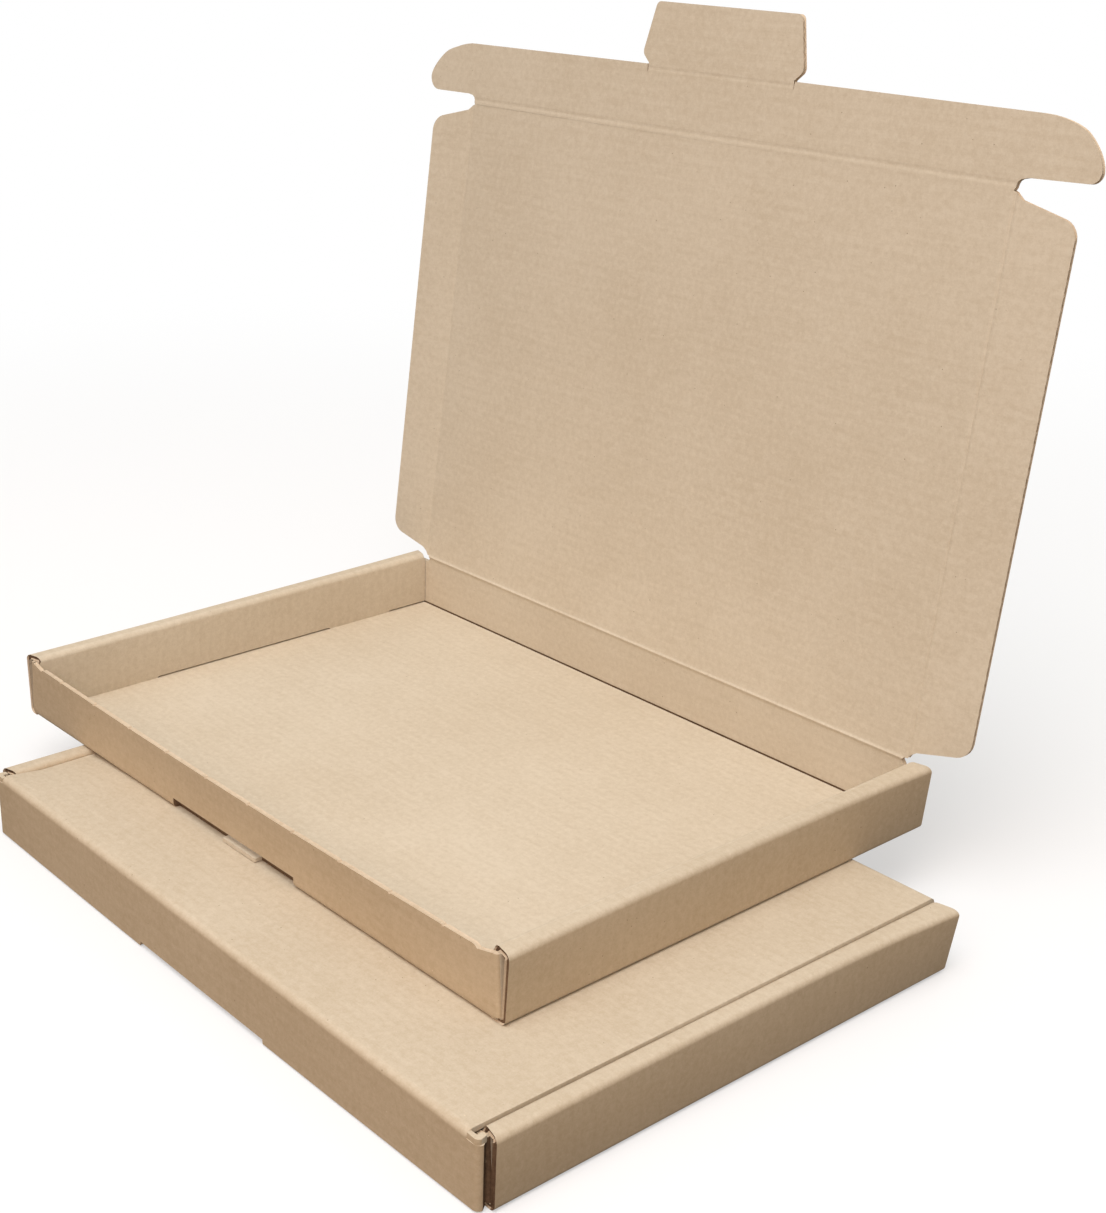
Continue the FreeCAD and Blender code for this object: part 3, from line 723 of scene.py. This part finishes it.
panel = flatCard([(-lid["side"], lid["low"]), (lid["side"], lid["low"]), (lid["side"], lid["high"]),
                  (-lid["side"], lid["high"])])
finishPiece(panel, "lid_card", lidPlace, "lid", ["upper_lid"])

# the lid's two side flaps, each bent a little, in degrees, towards the outside where positive
sideFlaps = {
    "right": {"crease": 0.32, "reach": 18.5, "bend": 7},
    "left": {"crease": 0.06, "reach": 17.5, "bend": -8},
    "foot": [(0, 0.6), (0.3, 1.1), (0.8, 1.9), (2.5, 3.1)],     # out from the crease, and up the lid
    "head": [(2.2, 157.3), (0.3, 158.9), (-0.7, 159.4)],
    "tip": (6.8, 153.2),
    "tipRound": 4,
    "flutes": (10.8, 150.2),
}


def sideFlap(values):
    s, side, reach = lid["score"], lid["side"], values["reach"]
    foot, head = [[(s + out, up) for out, up in sideFlaps[end]] for end in ("foot", "head")]
    tip = [(s + reach, up, sideFlaps["tipRound"]) for up in sideFlaps["tip"]]
    part = flatCard([(side, foot[0][1])] + foot + tip + head + [(side, head[-1][1])],
                    columns=[s + d for d in bothWays(0.2, 0.45, 0.7, 1.0) + [1.3]])
    rawEdge(part, lambda c, n: abs(n.z) < 0.5 and c.x > side + 0.1, depth=card["openEdge"], inner=cutEdge)
    score(part, "x", s, depth=values["crease"])
    ribbon = fluteRow(*sideFlaps["flutes"], 0.54)
    bmesh.ops.translate(ribbon, vec=(s + reach - 0.08, 0, 0), verts=ribbon.verts)
    addPart(part, ribbon)
    for vert in part.verts:
        off = vert.co.x - s
        if off > -1.2:
            turn = radians(values["bend"]) * min(1, (off + 1.2) / 2.4)
            lift = vert.co.z
            vert.co.x = s + off * cos(turn) + lift * sin(turn)
            vert.co.z = lift * cos(turn) - off * sin(turn)
    return part


right = finishPiece(sideFlap(sideFlaps["right"]), "lid_flap_right_card", lidPlace, None,
                    ["upper_dust_flap_right"])
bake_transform(right)

left = finishPiece(mirrored(sideFlap(sideFlaps["left"])), "lid_flap_left_card", lidPlace, None,
                   ["upper_dust_flap_left"])
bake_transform(left)
print("side flaps made")

# the front flap, with heights from its score; the tip's roundings are the right one and the left one
frontFlap = {
    "notch": [(107.9, -0.9), (108.0, 0), (108.4, 0.9), (109.2, 1.5), (111.2, 2.0)],
    "tip": (131.8, 2.8),   # end of the ears
    "tipRounds": (2.9, 4.2),
    "top": [(131.8, 10.4, 8.0), (121.0, 18.3, 9.0), (29.4, 18.3), (29.1, 15.9)],
    "droop": 1.3,          # of the left ear
    "droopWidth": 14,
    "depth": 0.2,          # how far the core stands back at its edges
    "creaseWidth": 1.1,
    "crease": 0.09,
    "rows": (-1.2, -0.9, -0.7, -0.45, -0.2, 0, 0.2, 0.45, 0.7, 0.95, 1.2),
}


def frontFlapCard():
    f, line = frontFlap, lid["front"]
    foot = lid["high"] - line
    rightSide, leftSide = [[(107.5, foot)] + f["notch"] + [(*f["tip"], tipRound)] + f["top"]
                           for tipRound in f["tipRounds"]]
    corners = ([(x, line + w, *r) for x, w, *r in rightSide]
               + [(-x, line + w, *r) for x, w, *r in reversed(leftSide)])
    part = flatCard(corners, segments=6, rows=[line + d for d in f["rows"]])

    def isRaw(c, n):
        joined = abs(c.y - line - foot) < 0.05 or (abs(c.x) < 29 and c.y > line + 10)
        return abs(n.z) < 0.5 and not joined

    rawEdge(part, isRaw, depth=f["depth"], inner=cutEdge)
    for vert in part.verts:
        if vert.co.x < -106:
            vert.co.y -= f["droop"] * min(1, (-106 - vert.co.x) / f["droopWidth"])
    score(part, "y", line, width=f["creaseWidth"], depth=f["crease"])
    return part


front = finishPiece(frontFlapCard(), "lid_front_flap_card", lidPlace, None, ["upper_front_flap"])
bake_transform(front)

lockTab = {
    "up": 17.1,            # from the front flap's score to its own
    "edge": [(29, -1.2), (29, 1.5), (32, 4.2, 1.2), (28.5, 19.5, 1.4)],
    "depth": 0.35,
    "creaseWidth": 0.9,
    "crease": 0.07,
    "flutes": (5.0, 18.0),
}


def lockTabCard():
    line = lid["front"] + lockTab["up"]
    edge = [(x, line + w, *r) for x, w, *r in lockTab["edge"]]
    part = flatCard(edge + [(-x, *r) for x, *r in reversed(edge)],
                    rows=[line + d for d in bothWays(0.25, 0.5, 0.75, 1.0)])
    rawEdge(part, lambda c, n: abs(n.z) < 0.5 and c.y > line - 1.1, depth=lockTab["depth"], inner=cutEdge)
    score(part, "y", line, width=lockTab["creaseWidth"], depth=lockTab["crease"])
    low, high = lockTab["flutes"]
    ribbon = fluteRow(line + low, line + high, 0.32)
    for vert in ribbon.verts:
        # along the slanted edge
        vert.co.x += 31.84 - (vert.co.y - line - 4.2) * 3.5 / 15.3
    addPart(part, mirrored(ribbon))
    addPart(part, ribbon)
    return part


lock = finishPiece(lockTabCard(), "lid_lock_tab_card", lidPlace, None, ["upper_lock_tab"])
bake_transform(lock)

hingeStrip = {
    "half": 107.4,
    "low": -1.7,
    "notch": 0.9,
    "ridge": 0.35,         # the fold stands up inside
    "ridgeWidth": 0.8,
    "lean": 6.9,           # degrees from the lid back to the wall
}


def hingeCard():
    # the back wall's top bends over into the lid
    h = hingeStrip
    half, low, notch = h["half"], h["low"], h["notch"]
    rightSide = [(half, low), (half - notch, -0.3), (half, 1.0), (lid["side"], lid["low"])]
    part = flatCard([(-half, low)] + rightSide + [(-x, y) for x, y in reversed(rightSide[1:])],
                    rows=(-1.5, -1.2, -0.9, -0.6, -0.3, 0, 0.3, 0.6, 0.9, 1.2))
    rawEdge(part, lambda c, n: abs(n.x) > 0.4 and abs(n.z) < 0.5)
    score(part, "y", 0.2, width=h["ridgeWidth"], depth=-h["ridge"])
    for vert in part.verts:
        if vert.co.y < 1.2:
            turn = radians(h["lean"]) * min(1, max(0, (1.2 - vert.co.y) / 2.4))
            along, off = vert.co.y, vert.co.z
            vert.co.y = along * cos(turn) - off * sin(turn)
            vert.co.z = off * cos(turn) + along * sin(turn)
    return part


hinge = finishPiece(hingeCard(), "lid_hinge_card", lidPlace, None, ["upper_lid"])
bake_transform(hinge)
print("lid made")

studio = {
    "worldColour": (1.0, 0.975, 0.94, 1),
    "worldStrength": 0.55,
    "white": (1, 1, 1, 1),
    "floorHalf": 4,
    "floorDrop": 0.0002,
    "floorColour": (0.84, 0.84, 0.84, 1),   # as the camera sees it
    "floorBounce": (0.16, 0.14, 0.12, 1),   # what it throws back on the card
    "floorGlow": 0.45,
    "floorFade": (0.3, 0.8),                # metres from the middle, where it turns into plain white
}
lamps = {
    "key": {"place": (0.35, -0.65, 1.9), "colour": (0.97, 0.99, 1.0), "power": 29.5, "size": 1.3},
    "fill": {"place": (0.45, -0.9, 0.85), "colour": (1.0, 0.7, 0.56), "power": 5.4, "size": 0.7},
    "back": {"place": (-0.3, 1.5, 0.35), "colour": (1.0, 0.95, 0.88), "power": 3.5, "size": 1.0},
}


def mixShaders(tree, factor, first, second):
    return addNode(tree, "ShaderNodeMixShader", {},
                   {0: factor, 1: Wire(tree, first.outputs[0]), 2: Wire(tree, second.outputs[0])})


def seenByCamera(tree):
    return Wire(tree, addNode(tree, "ShaderNodeLightPath").outputs["Is Camera Ray"])


floorMesh = bmesh.new()
bmesh.ops.create_grid(floorMesh, x_segments=2, y_segments=2, size=studio["floorHalf"])
bmesh.ops.translate(floorMesh, vec=(0, 0, -studio["floorDrop"]), verts=floorMesh.verts)
mesh = bpy.data.meshes.new("floor")
floorMesh.to_mesh(mesh)
floorMesh.free()
floor = bpy.data.objects.new("floor", mesh)
bpy.context.scene.collection.objects.link(floor)

paper = bpy.data.materials.new("floor_paper")
mesh.materials.append(paper)
tree = emptyTree(paper)
bright = addNode(tree, "ShaderNodeBsdfDiffuse", {}, {"Color": studio["floorColour"]})
dim = addNode(tree, "ShaderNodeBsdfDiffuse", {}, {"Color": studio["floorBounce"]})
glow = addNode(tree, "ShaderNodeEmission", {}, {"Color": studio["white"], "Strength": 1.0})
coords = addNode(tree, "ShaderNodeTexCoord")
away = addNode(tree, "ShaderNodeVectorMath", {"operation": "LENGTH"},
               {0: Wire(tree, coords.outputs["Object"])})
fade = addNode(tree, "ShaderNodeMapRange", {"interpolation_type": "SMOOTHSTEP"}, {
    "Value": Wire(tree, away.outputs["Value"]), "From Min": studio["floorFade"][0],
    "From Max": studio["floorFade"][1]})
lit = mixShaders(tree, studio["floorGlow"], bright, glow)
faded = mixShaders(tree, Wire(tree, fade.outputs["Result"]), lit, glow)
closeTree(tree, "ShaderNodeOutputMaterial", mixShaders(tree, seenByCamera(tree), dim, faded))

world = bpy.data.worlds.new("studio")
bpy.context.scene.world = world
tree = emptyTree(world)
soft = addNode(tree, "ShaderNodeBackground", {},
               {"Color": studio["worldColour"], "Strength": studio["worldStrength"]})
plain = addNode(tree, "ShaderNodeBackground", {}, {"Color": studio["white"], "Strength": 1.0})
closeTree(tree, "ShaderNodeOutputWorld", mixShaders(tree, seenByCamera(tree), soft, plain))

for name, values in lamps.items():
    lampData = bpy.data.lights.new(name, "AREA")
    lampData.energy = values["power"]
    lampData.size = values["size"]
    lampData.color = values["colour"]
    lamp = bpy.data.objects.new(name, lampData)
    bpy.context.scene.collection.objects.link(lamp)
    lamp.location = values["place"]
    lamp.rotation_euler = (-Vector(values["place"])).to_track_quat("-Z", "Y").to_euler()

view = {
    "place": (0.36740, -0.30904, 0.27777),
    "down": 22.94,
    "round": 49.36,
    "roll": 0.87,
    "lens": 56.75,
    "sensor": 36,
    "shiftX": 0.0709,
    "shiftY": 0.0406,
}
cameraData = bpy.data.cameras.new("photo_view")
cameraData.sensor_width = view["sensor"]
cameraData.lens = view["lens"]
cameraData.shift_x = view["shiftX"]
cameraData.shift_y = view["shiftY"]
cameraData.clip_start = 0.01
cameraData.dof.use_dof = False
camera = bpy.data.objects.new("photo_view", cameraData)
bpy.context.scene.collection.objects.link(camera)
turned = (Matrix.Rotation(radians(view["round"]), 4, "Z")
          @ Matrix.Rotation(radians(90 - view["down"]), 4, "X")
          @ Matrix.Rotation(radians(view["roll"]), 4, "Z"))
camera.matrix_world = Matrix.Translation(view["place"]) @ turned
bpy.context.scene.camera = camera
bpy.context.scene.view_settings.view_transform = "Standard"

print("scene ready")
